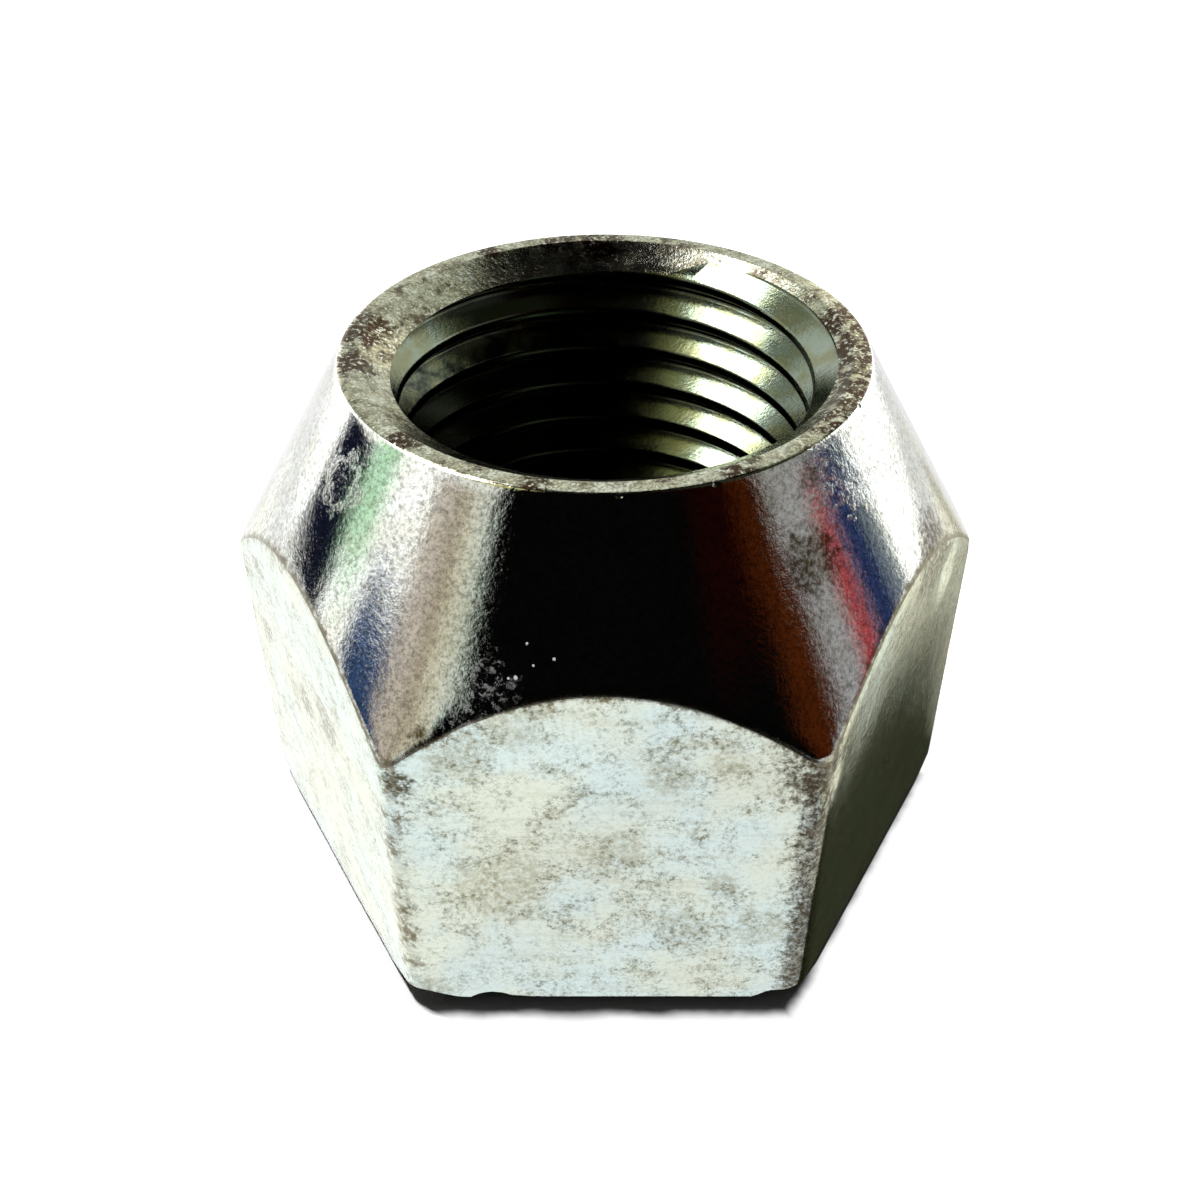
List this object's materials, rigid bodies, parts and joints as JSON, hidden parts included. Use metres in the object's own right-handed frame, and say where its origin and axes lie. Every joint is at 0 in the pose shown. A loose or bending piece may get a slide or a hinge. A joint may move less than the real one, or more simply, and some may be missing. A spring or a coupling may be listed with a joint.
{
  "type": "lug nut",
  "caption": "Open-ended wheel lug nut: a hexagon below a conical seat, tapped right through for a wheel stud.",
  "frame": {"origin": "centre of the hexagonal base, on the thread axis", "axes": "+Z along the thread axis from the base towards the conical seat; one pair of flats faces -Y and +Y, two corners lie on X"},
  "size_m": [0.0218, 0.019, 0.016],
  "materials": {
    "zinc_plate": "bright zinc plate on forged and turned steel, mottled and handled"
  },
  "bodies": {
    "root": {"lug_nut": "zinc_plate"}
  },
  "joints": []
}
